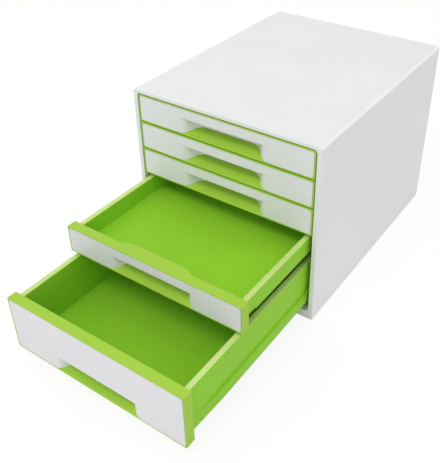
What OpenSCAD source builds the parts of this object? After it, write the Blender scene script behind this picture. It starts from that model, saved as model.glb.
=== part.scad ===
// Desktop cabinet with pull-out drawers: four shallow ones over one deep one.
// Millimetres. X runs to the right, Y to the back and Z up.
// The origin is on the table top, under the middle of the cabinet.
// Drawer 1 is the top one and drawer 5 the deep one at the bottom.

/* [Cabinet] */
// Overall width of the cabinet
cabinet_w = 287; // [240:1:350]
// Overall height of the cabinet, feet included
cabinet_h = 270; // [225:1:330]
// Overall depth of the cabinet
cabinet_d = 363; // [300:1:440]
// Wall of the casing behind its front rim
casing_wall = 3; // [2.5:0.5:4]
// Radius of the casing's long top edges
top_edge_r = 4.5; // [2:0.5:6]
// Radius of the casing's long bottom edges
bottom_edge_r = 1.5; // [1:0.5:3]
// Thickness of the rear panel
rear_panel_t = 3; // [2:0.5:4]
// Width of the step that the rear panel rests against
rear_step = 1.5; // [1:0.25:2]

/* [Front rim] */
// Width of the rim beside the drawers
rim_side_w = 7.2; // [6:0.1:10]
// Height of the rim above the drawers
rim_top_h = 5.7; // [4:0.1:10]
// Height of the rail below the drawers
rail_h = 13.6; // [10:0.1:18]
// Depth of the rim and the rail behind the closed fronts
rim_behind = 1.9; // [1:0.1:6]
// Radius of the opening's corners
opening_r = 4; // [2:0.25:6]

/* [Feet] */
// Height that a foot stands out of the casing
foot_h = 1.8; // [1:0.1:4]
// Diameter of a foot
foot_dia = 16; // [10:1:24]
// Distance of a foot's centre from the two nearest faces
foot_inset = 22; // [15:1:40]

/* [Drawer fronts] */
// Gap between two fronts, one above the other
front_gap = 0.9; // [0.6:0.1:2]
// Gap between a front and the opening
opening_gap = 0.75; // [0.5:0.05:2]
// Distance of the fronts behind the rim's face
front_setback = 0.6; // [0:0.1:2]
// Thickness of a front frame
front_t = 13.5; // [11:0.5:16]
// Wall of a front frame
front_wall = 2; // [1.5:0.1:2.6]
// Radius of a front's plain corners
front_r = 0.8; // [0.5:0.1:2]
// Coloured border left around the front plate
border_w = 2.1; // [1.5:0.1:4]
// Thickness of the front plate
plate_t = 2.2; // [1.6:0.1:3]
// Radius of the front plate's corners
plate_r = 2.6; // [1:0.1:3.2]
// Gap around the front plate
plate_fit = 0.2; // [0.1:0.05:0.4]

/* [Handle pocket] */
// Half width of the pocket's mouth
mouth_hw = 61; // [50:1:75]
// Height of the mouth's upper edge above the front's lower edge
mouth_h = 25; // [20:0.5:26]
// Depth of the pocket behind the front plate's face
pocket_d = 18.2; // [16:0.1:22]
// Slope of the pocket's flanks, away from straight back
flank_angle = 39.4; // [20:0.1:45]
// Radius where a flank turns into the pocket's back
pocket_r = 8; // [5:0.5:12]
// Height of the pocket's sill above the front's lower edge
sill_h = 2.4; // [1.5:0.1:5]
// Wall of the flanks that the front plate carries
flank_t = 1.2; // [1:0.1:2]
// Wall of the frame's shell around the pocket
shell_t = 1.5; // [1.2:0.1:2.4]

/* [Trays] */
// Distance of a tray's side faces inside the front's side faces
tray_inset = 4.5; // [3.5:0.1:6]
// Walls of a tray
tray_wall = 2; // [1.6:0.1:2.5]
// Width of a tray's rim
tray_rim_w = 7.5; // [7:0.1:10]
// Height of a tray's rim above its hollow side
tray_rim_t = 2.5; // [1.5:0.1:3]
// Distance of a tray's rim below the front's upper edge
rim_drop = 4.2; // [3:0.1:6]
// Height of a tray's floor above the front's lower edge
floor_h = 10; // [9:0.1:12]
// Height of a tray's side faces above the front's lower edge
skirt_h = 12; // [11.5:0.1:14]
// Gap behind the trays of closed drawers
rear_gap = 11.4; // [6:0.1:20]
// Radius of the tray's inner corners
tray_corner_r = 8; // [3:0.5:12]

/* [Runners] */
// Thickness of the runner frames' webs
runner_web = 2.5; // [2:0.1:3]
// Thickness of the runners
runner_t = 3; // [2:0.1:3.5]
// Lap of a runner under a tray's side
runner_lap = 2.5; // [2.2:0.1:3]
// Gap between a tray and the runner that carries it
run_gap = 0.3; // [0.2:0.05:0.5]
// Gap between a tray's rim and the guide above it
guide_gap = 0.7; // [0.5:0.1:1.2]
// Distance of the stops' rear faces behind the cabinet's front
stop_y = 66.3; // [40:0.1:120]
// Distance that a tray's lug stands out
lug_out = 4.5; // [4:0.1:5]

/* [Open drawers] */
// Distance of drawer 4 from its stop
drawer_4_left = 120; // [0:1:200]
// Distance of drawer 5 from its stop
drawer_5_left = 14; // [0:1:200]

/* [Hidden] */
$fn = 64;
eps = 0.01;
// Height of each drawer in units of the shallow one, from the top
UNITS = [1, 1, 1, 1, 2];
DRAWERS = [0, 1, 2, 3, 4];
function units_down_to(i) = i < 0 ? 0 : UNITS[i] + units_down_to(i - 1);

// Cabinet
front_y = -cabinet_d / 2;
back_y = cabinet_d / 2;
inner_hw = cabinet_w / 2 - casing_wall;
floor_z = foot_h + casing_wall;
ceiling_z = cabinet_h - casing_wall;
opening_hw = cabinet_w / 2 - rim_side_w;
opening_z0 = foot_h + rail_h;
opening_z1 = cabinet_h - rim_top_h;
panel_y = back_y - rear_panel_t;
seat_gap = 0.2;
rim_d = front_setback + front_t + rim_behind;

// Fronts
front_hw = opening_hw - opening_gap;
pitch = (opening_z1 - opening_z0 - 2 * opening_gap + front_gap) / units_down_to(4);
function front_h(i) = UNITS[i] * pitch - front_gap;
function front_z(i) = opening_z1 - opening_gap + front_gap - units_down_to(i) * pitch;
front_corner_r = opening_r - opening_gap;
function top_r(i) = i == 0 ? front_corner_r : front_r;
function bottom_r(i) = i == 4 ? front_corner_r : front_r;

// Handle pocket, measured up from a front's lower edge
shallow_h = pitch - front_gap;
lip_d = plate_t + front_wall;
pocket_top = shallow_h - front_wall;
side_cut = flank_t + plate_fit;
side_out = side_cut + shell_t;
ramp_slope = (floor_h - sill_h) / pocket_d;
shell_bottom = sill_h + ramp_slope * front_t - shell_t;

// Clips behind the front plate and hooks behind the front frame
clip_x = front_hw - 30;
clip_w = 10;
clip_t = 1.2;
clip_l = 3;
hook_x = front_hw - 20;
hook_w = 12;
hook_t = 3;
hook_z = 22;
hook_lip = 1.2;

// Trays
tray_hw = front_hw - tray_inset;
tray_l = panel_y - front_y - front_setback - rear_gap;
inner_tray_hw = tray_hw - tray_rim_w;
floor_under = floor_h - tray_wall;
rear_skirt_h = 12;
notch_l = 20;
notch_h = 2.5;
band_out = 2;
band_h = 16;
band_taper = 60;
floor_line_y = 104;
floor_line_w = 1.4;
floor_line_h = 0.8;
lug_l = 10;
lug_h = 14;
lug_rise = 2.5;

// Runners
runner_x = tray_hw - runner_lap;
web_x = inner_hw - runner_web;
runner_y0 = front_y + rim_d + seat_gap;
runner_y1 = panel_y - seat_gap;
stop_clear = 0.8;
stop_x = tray_hw + band_out + stop_clear;
stop_l = 6;
function rim_z(i) = front_z(i) + front_h(i) - rim_drop;
function runner_top(i) = front_z(i) + skirt_h - run_gap;

// Travel of a drawer, and how far each one stands open
travel = tray_l - lug_l + front_setback - stop_y - run_gap;
function open_by(i) = i == 3 ? travel - drawer_4_left : i == 4 ? travel - drawer_5_left : 0;

WHITE = [0.93, 0.93, 0.925];
PLATE_WHITE = [0.88, 0.885, 0.885];
GREEN = [0.53, 0.77, 0.19];
GREY = [0.62, 0.63, 0.62];
RUBBER = [0.12, 0.12, 0.12];

// An outline in X and Z, carried back along Y
module extrude_back(depth) {
    translate([0, depth, 0]) rotate([90, 0, 0]) linear_extrude(depth) children();
}

// An outline in Y and Z, carried along X to both sides of the middle
module extrude_across(half_w) {
    translate([-half_w, 0, 0]) rotate([90, 0, 90]) linear_extrude(2 * half_w) children();
}

// A block given by its lowest and highest corners
module block(low, high) {
    translate(low) cube(high - low);
}

// A panel standing on its lower edge, with round corners of one radius above and one below
module panel_outline(half_w, h, r_top, r_bottom) {
    translate([-half_w, r_bottom]) square([2 * half_w, h - r_top - r_bottom]);
    translate([r_bottom - half_w, 0]) square([2 * (half_w - r_bottom), 2 * r_bottom]);
    translate([r_top - half_w, h - 2 * r_top]) square([2 * (half_w - r_top), 2 * r_top]);
    for (side = [-1, 1]) {
        translate([side * (half_w - r_bottom), r_bottom]) circle(r_bottom);
        translate([side * (half_w - r_top), h - r_top]) circle(r_top);
    }
}

// Places children at a drawer's front face, on the lower edge of its front
module at_drawer(i) {
    translate([0, front_y + front_setback - open_by(i), front_z(i)]) children();
}

// ---- Cabinet ----

module casing() {
    color(WHITE) difference() {
        translate([0, front_y, foot_h]) extrude_back(cabinet_d)
            panel_outline(cabinet_w / 2, cabinet_h - foot_h, top_edge_r, bottom_edge_r);
        translate([0, front_y - 1, opening_z0]) extrude_back(rim_d + 2)
            panel_outline(opening_hw, opening_z1 - opening_z0, opening_r, opening_r);
        block([-inner_hw, front_y + rim_d, floor_z], [inner_hw, back_y + 1, ceiling_z]);
        block([-inner_hw - rear_step, panel_y, floor_z - rear_step],
              [inner_hw + rear_step, back_y + 1, ceiling_z + rear_step]);
    }
}

module rear_panel() {
    edge = rear_step - seat_gap;
    color(WHITE) block([-inner_hw - edge, panel_y, floor_z - edge],
                       [inner_hw + edge, back_y, ceiling_z + edge]);
}

// One side's runner frame, drawn for the right-hand side
module runner_frame() {
    block([web_x, runner_y0, floor_z + seat_gap], [inner_hw, runner_y1, ceiling_z - seat_gap]);
    for (i = DRAWERS) {
        guide_z = rim_z(i) + guide_gap;
        stop_z = runner_top(i) - eps;
        block([runner_x, runner_y0, runner_top(i) - runner_t], [web_x + eps, runner_y1, runner_top(i)]);
        block([runner_x, runner_y0, guide_z], [web_x + eps, runner_y1, guide_z + runner_t]);
        block([stop_x, front_y + stop_y - stop_l, stop_z],
              [web_x + eps, front_y + stop_y, stop_z + lug_rise + lug_h]);
    }
}

module right_runner_frame() {
    color(GREY) runner_frame();
}

module left_runner_frame() {
    color(GREY) mirror([1, 0, 0]) runner_frame();
}

module feet() {
    color(RUBBER) for (x = [-1, 1], y = [-1, 1])
        translate([x * (cabinet_w / 2 - foot_inset), y * (cabinet_d / 2 - foot_inset), 0])
            cylinder(h = foot_h, d = foot_dia);
}

// ---- Handle pocket, the same in every front ----

// The pocket seen from above, with its flanks moved outwards by side_grow and its back by back_grow
module pocket_plan(side_grow, back_grow) {
    r = pocket_r + back_grow;
    arc_y = pocket_d - pocket_r;
    mouth_x = mouth_hw + side_grow / cos(flank_angle);
    arc_x = mouth_x - (r + arc_y * sin(flank_angle)) / cos(flank_angle);
    flank_x = arc_x + r * cos(flank_angle);
    flank_y = arc_y + r * sin(flank_angle);
    lead_x = mouth_x + tan(flank_angle);
    polygon([
        [-lead_x, -1], [lead_x, -1], [flank_x, flank_y], [arc_x, arc_y + r],
        [-arc_x, arc_y + r], [-flank_x, flank_y]
    ]);
    for (side = [-1, 1])
        translate([side * arc_x, arc_y]) circle(r);
}

// The rising floor of the pocket, from the sill to the level of the tray's floor
module pocket_ramp() {
    lead = 2;
    extrude_across(front_hw) polygon([
        [-lead, -lead], [pocket_d * 2, -lead], [pocket_d * 2, floor_h],
        [pocket_d, floor_h], [-lead, sill_h - lead * ramp_slope]
    ]);
}

// The space inside the pocket: its mouth, and the finger room behind the lip
module pocket_space() {
    difference() {
        union() {
            linear_extrude(mouth_h) pocket_plan(side_cut, 0);
            intersection() {
                linear_extrude(pocket_top) pocket_plan(side_cut, 0);
                block([-front_hw, lip_d, 0], [front_hw, pocket_d * 2, pocket_top + 1]);
            }
        }
        pocket_ramp();
    }
}

// The pocket's shell, which stands out behind the front frame and is level with a shallow front's top
module pocket_shell(grow) {
    intersection() {
        translate([0, 0, shell_bottom - grow]) linear_extrude(shallow_h - shell_bottom + 2 * grow)
            pocket_plan(side_out + grow, shell_t + grow);
        block([-front_hw, lip_d, 0], [front_hw, pocket_d * 2, shallow_h + 2 * grow]);
    }
}

// ---- Drawers ----

module front_plate(i) {
    plate_hw = front_hw - border_w - plate_fit;
    plate_z = border_w + plate_fit;
    plate_h = front_h(i) - 2 * plate_z;
    flank_end = pocket_d - pocket_r * (1 - sin(flank_angle));
    color(PLATE_WHITE) at_drawer(i) difference() {
        union() {
            difference() {
                translate([0, 0, plate_z]) extrude_back(plate_t)
                    panel_outline(plate_hw, plate_h, plate_r, plate_r);
                block([-mouth_hw, -1, 0], [mouth_hw, plate_t + 1, mouth_h]);
            }
            // flanks that reach into the pocket
            intersection() {
                difference() {
                    linear_extrude(mouth_h - plate_fit) pocket_plan(flank_t, 0);
                    translate([0, 0, -1]) linear_extrude(mouth_h + 2) pocket_plan(0, 0);
                }
                block([-front_hw, eps, plate_z], [front_hw, flank_end, mouth_h]);
            }
            // clips that hold the plate in the frame
            for (side = [-1, 1])
                block([side * clip_x - clip_w / 2, plate_t - eps, plate_z + 2 * clip_t],
                      [side * clip_x + clip_w / 2, plate_t + clip_l, plate_z + 3 * clip_t]);
            for (side = [-1, 1])
                block([side * clip_x - clip_w / 2, plate_t - eps, plate_z + plate_h - 3 * clip_t],
                      [side * clip_x + clip_w / 2, plate_t + clip_l, plate_z + plate_h - 2 * clip_t]);
        }
        translate([0, 0, plate_fit]) pocket_ramp();
    }
}

// Slots for the plate's clips, cut through the front frame's face
module clip_slots(i) {
    plate_z = border_w + plate_fit;
    plate_h = front_h(i) - 2 * plate_z;
    for (side = [-1, 1], z = [plate_z + 2 * clip_t, plate_z + plate_h - 3 * clip_t])
        block([side * clip_x - clip_w / 2 - plate_fit, 0, z - plate_fit],
              [side * clip_x + clip_w / 2 + plate_fit, front_t, z + clip_t + plate_fit]);
}

module front_frame(i) {
    h = front_h(i);
    hollow_x = mouth_hw + side_out / cos(flank_angle);
    color(GREEN) at_drawer(i) difference() {
        union() {
            difference() {
                extrude_back(front_t) panel_outline(front_hw, h, top_r(i), bottom_r(i));
                for (side = [-1, 1]) {
                    x0 = side < 0 ? border_w - front_hw : hollow_x;
                    x1 = side < 0 ? -hollow_x : front_hw - border_w;
                    block([x0, lip_d, border_w], [x1, front_t + 1, h - border_w]);
                }
            }
            pocket_shell(0);
            // hooks that hold the frame on the tray
            for (side = [-1, 1]) {
                block([side * hook_x - hook_w / 2, lip_d - eps, hook_z],
                      [side * hook_x + hook_w / 2, front_t + tray_wall + hook_lip + plate_fit, hook_z + hook_t]);
                block([side * hook_x - hook_w / 2, front_t + tray_wall + plate_fit, hook_z - hook_lip],
                      [side * hook_x + hook_w / 2, front_t + tray_wall + hook_lip + plate_fit, hook_z + hook_t]);
            }
        }
        translate([0, -1, border_w]) extrude_back(plate_t + 1)
            panel_outline(front_hw - border_w, h - 2 * border_w, plate_r + plate_fit, plate_r + plate_fit);
        pocket_space();
        clip_slots(i);
    }
}

module tray(i) {
    deep = UNITS[i] > 1;
    rim_h = front_h(i) - rim_drop;
    hollow_top = rim_h - tray_rim_t;
    hollow_x0 = inner_tray_hw + tray_wall;
    hollow_x1 = tray_hw - tray_wall;
    back_wall_y = tray_l - tray_rim_w;
    color(GREEN) at_drawer(i) difference() {
        union() {
            difference() {
                block([-tray_hw, front_t, floor_under], [tray_hw, tray_l, rim_h]);
                // inside of the tray
                translate([0, front_t + tray_wall, floor_h])
                    tray_room(back_wall_y - front_t - tray_wall, rim_h);
                // hollow sides, open below
                for (side = [-1, 1]) {
                    x0 = side < 0 ? -hollow_x1 : hollow_x0;
                    x1 = side < 0 ? -hollow_x0 : hollow_x1;
                    y1 = tray_l - tray_wall;
                    block([x0, front_t + tray_wall, -1], [x1, y1, hollow_top]);
                    edge0 = side < 0 ? -tray_hw - 1 : hollow_x0;
                    edge1 = side < 0 ? -hollow_x0 : tray_hw + 1;
                    block([edge0, front_t - 1, -1], [edge1, tray_l + 1, skirt_h]);
                    if (!deep)
                        block([edge0, front_t - 1, -1], [edge1, front_t + notch_l, skirt_h + notch_h]);
                }
                // hollow back, open below
                block([-hollow_x0, back_wall_y + tray_wall, -1], [hollow_x0, tray_l - tray_wall, hollow_top]);
                block([-hollow_x0, back_wall_y + tray_wall, -1], [hollow_x0, tray_l + 1, rim_h - rear_skirt_h]);
            }
            // lugs that meet the stops
            for (side = [-1, 1]) {
                x0 = side < 0 ? -tray_hw - lug_out : tray_hw - eps;
                x1 = side < 0 ? -tray_hw + eps : tray_hw + lug_out;
                block([x0, tray_l - lug_l, skirt_h + lug_rise], [x1, tray_l, skirt_h + lug_rise + lug_h]);
            }
            if (deep) {
                tray_band();
                block([-inner_tray_hw - eps, floor_line_y, floor_h - eps],
                      [inner_tray_hw + eps, floor_line_y + floor_line_w, floor_h + floor_line_h]);
            }
        }
        // room for the pocket's shell
        pocket_shell(plate_fit);
        // slots for the front frame's hooks
        for (side = [-1, 1])
            block([side * hook_x - hook_w / 2 - plate_fit, front_t - 1, hook_z - hook_lip - plate_fit],
                  [side * hook_x + hook_w / 2 + plate_fit, front_t + tray_wall + 1, hook_z + hook_t + plate_fit]);
    }
}

// The inside of a tray: upright round corners at the back, square ones at the front
module tray_room(length, h) {
    r = tray_corner_r;
    linear_extrude(h) {
        translate([-inner_tray_hw, 0]) square([2 * inner_tray_hw, length - r]);
        translate([r - inner_tray_hw, 0]) square([2 * (inner_tray_hw - r), length]);
        for (side = [-1, 1])
            translate([side * (inner_tray_hw - r), length - r]) circle(r);
    }
}

// The wider band low on the deep tray's sides, running out towards the front
module tray_band() {
    for (side = [0, 1]) mirror([side, 0, 0])
        translate([0, 0, skirt_h]) linear_extrude(band_h) polygon([
            [tray_hw - eps, front_t], [tray_hw, front_t], [tray_hw + band_out, front_t + band_taper],
            [tray_hw + band_out, tray_l], [tray_hw - eps, tray_l]
        ]);
}

casing();
rear_panel();
left_runner_frame();
right_runner_frame();
feet();
for (i = DRAWERS) {
    tray(i);
    front_frame(i);
    front_plate(i);
}
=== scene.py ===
"""Looks of a desktop cabinet with five pull-out drawers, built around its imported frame.

Metres. X runs to the right, Y to the back and Z up. Drawer 1 is the top one and drawer 5 the deep one.
A ring is a closed row of points, and a shell is rings joined one after another.
"""

import math

import bmesh
import bpy
import numpy as np
from bpy.props import FloatProperty, FloatVectorProperty, PointerProperty
from mathutils import Matrix, Vector


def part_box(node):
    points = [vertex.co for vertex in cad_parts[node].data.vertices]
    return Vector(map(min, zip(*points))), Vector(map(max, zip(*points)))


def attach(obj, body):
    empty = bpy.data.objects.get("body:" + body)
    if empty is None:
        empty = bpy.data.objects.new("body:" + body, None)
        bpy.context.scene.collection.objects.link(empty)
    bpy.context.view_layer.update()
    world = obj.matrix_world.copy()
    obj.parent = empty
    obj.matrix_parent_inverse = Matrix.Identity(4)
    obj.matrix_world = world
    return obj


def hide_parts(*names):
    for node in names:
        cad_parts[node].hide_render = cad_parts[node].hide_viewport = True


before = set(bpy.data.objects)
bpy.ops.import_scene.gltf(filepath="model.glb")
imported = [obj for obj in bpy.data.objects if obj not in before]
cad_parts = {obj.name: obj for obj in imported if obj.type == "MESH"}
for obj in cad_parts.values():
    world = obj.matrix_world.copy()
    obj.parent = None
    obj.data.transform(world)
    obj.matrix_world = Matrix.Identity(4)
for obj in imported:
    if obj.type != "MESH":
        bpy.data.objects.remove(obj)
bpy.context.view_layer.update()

bl_info = {
    "name": "Desktop drawer cabinet",
    "version": (1, 0, 0),
    "blender": (4, 5, 0),
    "location": "View3D > Sidebar > Cabinet",
    "description": "Builds the casing, drawers and studio of a desktop drawer cabinet",
    "category": "Object",
}

DRAWERS = (1, 2, 3, 4, 5)
DEEP_DRAWER = 5

# Steps along the stretches of a front's ring
MID_STEPS = 24
SIDE_STEPS = 6
CORNER_STEPS = 8
TOP_MID_STEPS = 56
ROUND_STEPS = 4

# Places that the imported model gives
CASING_LOW, CASING_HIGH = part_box("casing")
PANEL_LOW, PANEL_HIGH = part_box("rear_panel")
_, RUNNER_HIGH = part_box("right_runner_frame")
SHALLOW_LOW, SHALLOW_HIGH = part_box("front_frame_1")
INNER_HALF_W = RUNNER_HIGH[0]
FRONT_HALF_W = SHALLOW_HIGH[0]
SHALLOW_H = SHALLOW_HIGH[2] - SHALLOW_LOW[2]


class CasingSizes(bpy.types.PropertyGroup):
    """Sizes and colours of the casing, the rear panel, the feet and the runner frames."""

    top_edge_radius: FloatProperty(
        name="Top edge radius", description="Radius of the long top edges",
        default=0.0045, min=0.001, max=0.01, unit="LENGTH")
    bottom_edge_radius: FloatProperty(
        name="Bottom edge radius", description="Radius of the long bottom edges",
        default=0.0015, min=0.0005, max=0.005, unit="LENGTH")
    front_edge_radius: FloatProperty(
        name="Front edge radius", description="Radius of the edge around the front rim",
        default=0.001, min=0.0002, max=0.002, unit="LENGTH")
    opening_edge_radius: FloatProperty(
        name="Opening edge radius", description="Radius of the edge around the opening",
        default=0.0004, min=0.0001, max=0.002, unit="LENGTH")
    opening_corner_radius: FloatProperty(
        name="Opening corner radius", description="Radius of the opening's four corners",
        default=0.0045, min=0.001, max=0.008, unit="LENGTH")
    opening_gap: FloatProperty(
        name="Opening gap", description="Gap between the fronts and the opening",
        default=0.0014, min=0.0002, max=0.002, unit="LENGTH")
    rim_depth: FloatProperty(
        name="Rim depth", description="Depth of the rim around the opening",
        default=0.016, min=0.01, max=0.03, unit="LENGTH")
    panel_edge_radius: FloatProperty(
        name="Panel edge radius", description="Radius of the rear panel's edges",
        default=0.0006, min=0.0001, max=0.0015, unit="LENGTH")
    panel_relief: FloatProperty(
        name="Panel relief", description="Slimming of the rear panel on each side, which shows its seam",
        default=0.0002, min=0, max=0.0005, unit="LENGTH")
    foot_edge_radius: FloatProperty(
        name="Foot edge radius", description="Radius of the feet's lower edges",
        default=0.0006, min=0.0001, max=0.0015, unit="LENGTH")
    casing_colour: FloatVectorProperty(
        name="Casing colour", description="Colour of the casing and the rear panel",
        default=(0.84, 0.84, 0.84), min=0, max=1, subtype="COLOR")
    # Painted highlight: a paler colour halfway round the long top edges stands in for the light they catch
    painted_edge_highlight: FloatVectorProperty(
        name="Edge colour", description="Colour of the casing halfway round its long top edges",
        default=(0.97, 0.97, 0.97), min=0, max=1, subtype="COLOR")
    runner_colour: FloatVectorProperty(
        name="Runner colour", description="Colour of the runner frames",
        default=(0.33, 0.34, 0.33), min=0, max=1, subtype="COLOR")
    foot_colour: FloatVectorProperty(
        name="Foot colour", description="Colour of the feet",
        default=(0.03, 0.03, 0.03), min=0, max=1, subtype="COLOR")


class DrawerSizes(bpy.types.PropertyGroup):
    """Sizes and colours of the drawer fronts, their plates and the trays."""

    front_depth: FloatProperty(
        name="Front depth", description="Thickness of a drawer front",
        default=0.0135, min=0.01, max=0.02, unit="LENGTH")
    front_edge_radius: FloatProperty(
        name="Front edge radius", description="Radius of a front's edges",
        default=0.0004, min=0.0001, max=0.001, unit="LENGTH")
    front_corner_radius: FloatProperty(
        name="Front corner radius", description="Radius of a front's plain corners",
        default=0.0009, min=0.0005, max=0.002, unit="LENGTH")
    seam_relief: FloatProperty(
        name="Seam relief", description="Slimming of a front on each side, which keeps the gaps dark",
        default=0.0005, min=0, max=0.001, unit="LENGTH")
    border_width: FloatProperty(
        name="Border width", description="Distance of a plate's recess from the front's unrelieved edge",
        default=0.0021, min=0.001, max=0.004, unit="LENGTH")
    plate_depth: FloatProperty(
        name="Plate depth", description="Depth of the recess that a plate lies in",
        default=0.0022, min=0.001, max=0.003, unit="LENGTH")
    plate_gap: FloatProperty(
        name="Plate gap", description="Gap around a plate",
        default=0.0002, min=0.0001, max=0.0005, unit="LENGTH")
    plate_corner_radius: FloatProperty(
        name="Plate corner radius", description="Radius of a plate's corners",
        default=0.003, min=0.001, max=0.004, unit="LENGTH")
    plate_edge_radius: FloatProperty(
        name="Plate edge radius", description="Radius of a plate's edges",
        default=0.0002, min=0.0001, max=0.0008, unit="LENGTH")
    mouth_half_width: FloatProperty(
        name="Mouth half width", description="Half width of a handle pocket's mouth",
        default=0.061, min=0.04, max=0.08, unit="LENGTH")
    mouth_height: FloatProperty(
        name="Mouth height", description="Height of the mouth's upper edge above the front's lower edge",
        default=0.025, min=0.015, max=0.03, unit="LENGTH")
    pocket_depth: FloatProperty(
        name="Pocket depth", description="Depth of a handle pocket",
        default=0.0182, min=0.01, max=0.03, unit="LENGTH")
    pocket_radius: FloatProperty(
        name="Pocket radius", description="Radius where a flank turns into the pocket's back",
        default=0.022, min=0.003, max=0.025, unit="LENGTH")
    fold_radius: FloatProperty(
        name="Fold radius", description="Radius where a plate turns into a flank",
        default=0.0137, min=0.002, max=0.02, unit="LENGTH")
    flank_angle: FloatProperty(
        name="Flank angle", description="Slope of a flank away from straight back",
        default=math.radians(39.4), min=0.2, max=1.0, unit="ROTATION")
    sill_height: FloatProperty(
        name="Sill height", description="Height of the pocket's sill above the front's lower edge",
        default=0.0024, min=0.001, max=0.005, unit="LENGTH")
    floor_height: FloatProperty(
        name="Floor height", description="Height of a tray's floor above the front's lower edge",
        default=0.01, min=0.008, max=0.02, unit="LENGTH")
    tray_wall: FloatProperty(
        name="Tray wall", description="Walls of a tray",
        default=0.002, min=0.001, max=0.003, unit="LENGTH")
    rim_width: FloatProperty(
        name="Rim width", description="Width of a tray's rim",
        default=0.0075, min=0.005, max=0.01, unit="LENGTH")
    skirt_height: FloatProperty(
        name="Skirt height", description="Height of a tray's side faces above the front's lower edge",
        default=0.012, min=0.01, max=0.02, unit="LENGTH")
    tray_corner_radius: FloatProperty(
        name="Tray corner radius", description="Radius of a tray's inner corners at the back",
        default=0.008, min=0.003, max=0.015, unit="LENGTH")
    green: FloatVectorProperty(
        name="Front colour", description="Colour of the front frames",
        default=(0.395, 0.66, 0.065), min=0, max=1, subtype="COLOR")
    tray_green: FloatVectorProperty(
        name="Tray colour", description="Colour of the trays",
        default=(0.31, 0.67, 0.035), min=0, max=1, subtype="COLOR")
    # Painted sheen: this green is paler than the trays' own, standing in for the reflection on the glossy
    # rims
    rim_green_painted_sheen: FloatVectorProperty(
        name="Rim colour", description="Colour of the trays' polished rims",
        default=(0.60, 0.79, 0.23), min=0, max=1, subtype="COLOR")
    plate_colour: FloatVectorProperty(
        name="Plate colour", description="Colour of the front plates",
        default=(0.81, 0.80, 0.825), min=0, max=1, subtype="COLOR")


class StageSizes(bpy.types.PropertyGroup):
    """Place and lens of the camera, the floor's colour and the light all round."""

    azimuth: FloatProperty(
        name="Azimuth", description="Turn of the camera to the right of the front",
        default=math.radians(34.21), unit="ROTATION")
    elevation: FloatProperty(
        name="Elevation", description="Angle that the camera looks down",
        default=math.radians(33.293), unit="ROTATION")
    roll: FloatProperty(
        name="Roll", description="Turn of the camera about its own axis",
        default=math.radians(0.261), unit="ROTATION")
    camera_place: FloatVectorProperty(
        name="Camera place", description="Place of the camera",
        default=(0.44757, -0.78215, 0.66252), subtype="TRANSLATION")
    focal_length: FloatProperty(
        name="Focal length", description="Focal length in millimetres",
        default=53.15, min=10, max=200)
    lens_shift: FloatVectorProperty(
        name="Lens shift", description="Shift of the lens to the side and up",
        size=2, default=(-0.058, -0.105))
    floor_colour: FloatVectorProperty(
        name="Floor colour", description="Colour of the floor",
        default=(0.86, 0.86, 0.86), min=0, max=1, subtype="COLOR")
    surround: FloatProperty(
        name="Surround", description="Strength of the even light all round",
        default=0.758, min=0, max=2)


# ---- Rings ----

def line(start, end, steps):
    """Points spaced evenly on the straight line between two points, both included."""
    t = np.linspace(0, 1, steps + 1)[:, None]
    return np.asarray(start) * (1 - t) + np.asarray(end) * t


def arc(centre, radius, start, end, steps=CORNER_STEPS):
    """Points on a circle about the centre, from one angle to another in degrees, both included."""
    angle = np.radians(np.linspace(start, end, steps + 1))
    return np.asarray(centre) + radius * np.stack([np.cos(angle), np.sin(angle)], axis=1)


def front_ring(half_w, low, high, top_radius, bottom_radius, mid, top_mid):
    """A rectangle with round corners, seen from the front and run through anticlockwise.

    It starts with the stretch from -mid to mid on the lower side. The upper side has a stretch from
    top_mid to -top_mid of its own, so that rings of one kind can be joined point to point.
    """
    right, top = half_w - bottom_radius, half_w - top_radius
    return np.concatenate([
        line((-mid, low), (mid, low), MID_STEPS),
        line((mid, low), (right, low), SIDE_STEPS),
        arc((right, low + bottom_radius), bottom_radius, -90, 0),
        line((half_w, low + bottom_radius), (half_w, high - top_radius), SIDE_STEPS),
        arc((top, high - top_radius), top_radius, 0, 90),
        line((top, high), (top_mid, high), SIDE_STEPS),
        line((top_mid, high), (-top_mid, high), TOP_MID_STEPS),
        line((-top_mid, high), (-top, high), SIDE_STEPS),
        arc((-top, high - top_radius), top_radius, 90, 180),
        line((-half_w, high - top_radius), (-half_w, low + bottom_radius), SIDE_STEPS),
        arc((-right, low + bottom_radius), bottom_radius, 180, 270),
        line((-right, low), (-mid, low), SIDE_STEPS),
    ])


# Where the middle stretches of the lower and of the upper side lie in such a ring
MID = slice(0, MID_STEPS + 1)
TOP_MID_START = MID_STEPS + 1 + 3 * (SIDE_STEPS + 1) + 2 * (CORNER_STEPS + 1)
TOP_MID = slice(TOP_MID_START, TOP_MID_START + TOP_MID_STEPS + 1)


def upright(ring, depth):
    """Stands a ring of X and Z up at a depth along Y, which may differ from point to point."""
    return np.stack([ring[:, 0], np.broadcast_to(depth, len(ring)), ring[:, 1]], axis=1)


def level(ring, height):
    """Lays a ring of X and Y down at a height, which may differ from point to point."""
    return np.stack([ring[:, 0], ring[:, 1], np.broadcast_to(height, len(ring))], axis=1)


def quarter(radius, steps=ROUND_STEPS):
    """Pairs of inset and depth around a rounded edge, from the side (0, radius) to the face (radius, 0)."""
    angle = np.linspace(0, math.pi / 2, steps + 1)
    return list(zip(radius * (1 - np.cos(angle)), radius * (1 - np.sin(angle))))


# ---- Shells and pieces ----

# Two places less than this apart are the same
TINY = 1e-6
# Points this near become one, and edges that turn by more than this angle stay sharp
MERGE_DISTANCE = 5e-6
SHARP_ANGLE = math.radians(38)
# How far broad faces outweigh narrow ones in the shading, where 50 is even
BROAD_WEIGHT = 100


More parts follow.
